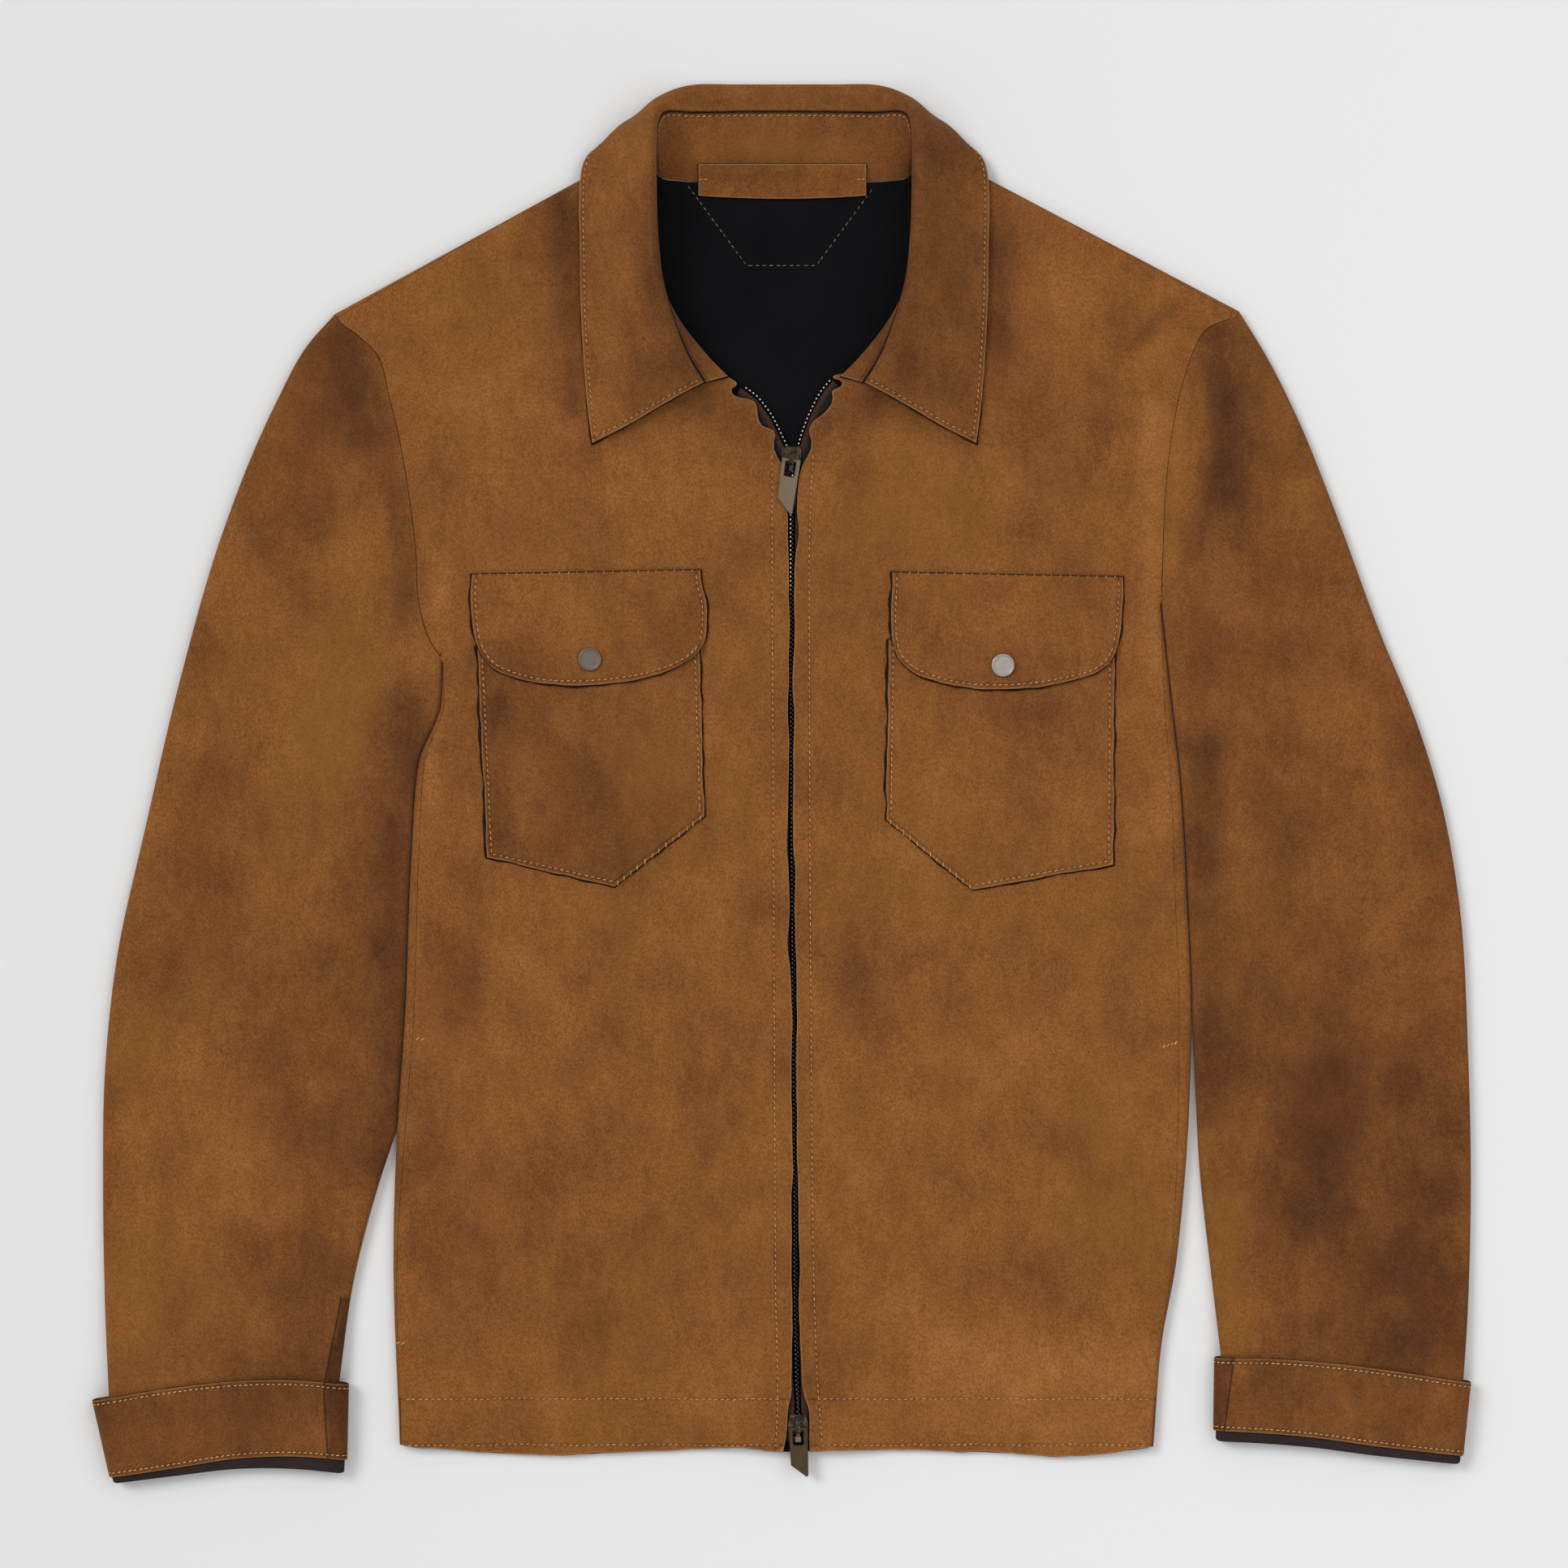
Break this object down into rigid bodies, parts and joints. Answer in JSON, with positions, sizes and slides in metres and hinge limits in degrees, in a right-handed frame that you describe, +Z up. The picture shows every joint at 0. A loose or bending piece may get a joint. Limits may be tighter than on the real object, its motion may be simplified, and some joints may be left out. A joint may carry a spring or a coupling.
{
  "type": "leather overshirt",
  "caption": "Suede overshirt laid flat face up: full two-way zip, point collar, patch pockets with snapped flaps, long sleeves with ends turned back over bands.",
  "frame": {"origin": "on the surface that the overshirt lies on, under the middle of its bounding box", "axes": "+Z up from that surface, +Y towards the collar, +X to the right as seen from above, which is the wearer's left"},
  "size_m": [0.7548, 0.7656, 0.0283],
  "materials": {
    "suede": "matte napped suede, tan brown, near-black navy cloth bonded inside",
    "band_suede": "matte napped suede, tan brown",
    "zip_tape": "woven tape, near black",
    "antique_brass": "antiqued, dark in the recesses",
    "brushed_metal": "brushed antique brass",
    "snap_metal": "dull pewter"
  },
  "bodies": {
    "garment": {"back": "suede", "front_left": "suede", "front_right": "suede", "sleeve_left": "suede", "sleeve_right": "suede", "cuff_band_left": "band_suede", "cuff_band_right": "band_suede", "collar_stand": "suede", "collar_fall": "suede", "pocket_left": "suede", "pocket_right": "suede", "flap_left": "suede", "flap_right": "suede", "neck_label": "suede", "snap_left": "snap_metal", "snap_right": "snap_metal", "zip_tape_left": "zip_tape", "zip_tape_right": "zip_tape", "zip_chain_left": "antique_brass", "zip_chain_right": "antique_brass", "zip_slider_top": "antique_brass", "zip_slider_bottom": "antique_brass"},
    "top_tab": {"pull_tab_top": "brushed_metal"},
    "bottom_tab": {"pull_tab_bottom": "brushed_metal"}
  },
  "joints": [
    {"name": "top_tab_hinge", "type": "hinge", "parent": "garment", "child": "top_tab", "pos_m": [0.0049, 0.1767, 0.008], "axis": [-0.9888, 0.1495, 0], "range_deg": [0, 170]},
    {"name": "bottom_tab_hinge", "type": "hinge", "parent": "garment", "child": "bottom_tab", "pos_m": [0.0086, -0.3529, 0.008], "axis": [-0.9997, -0.0262, 0], "range_deg": [0, 170]}
  ]
}
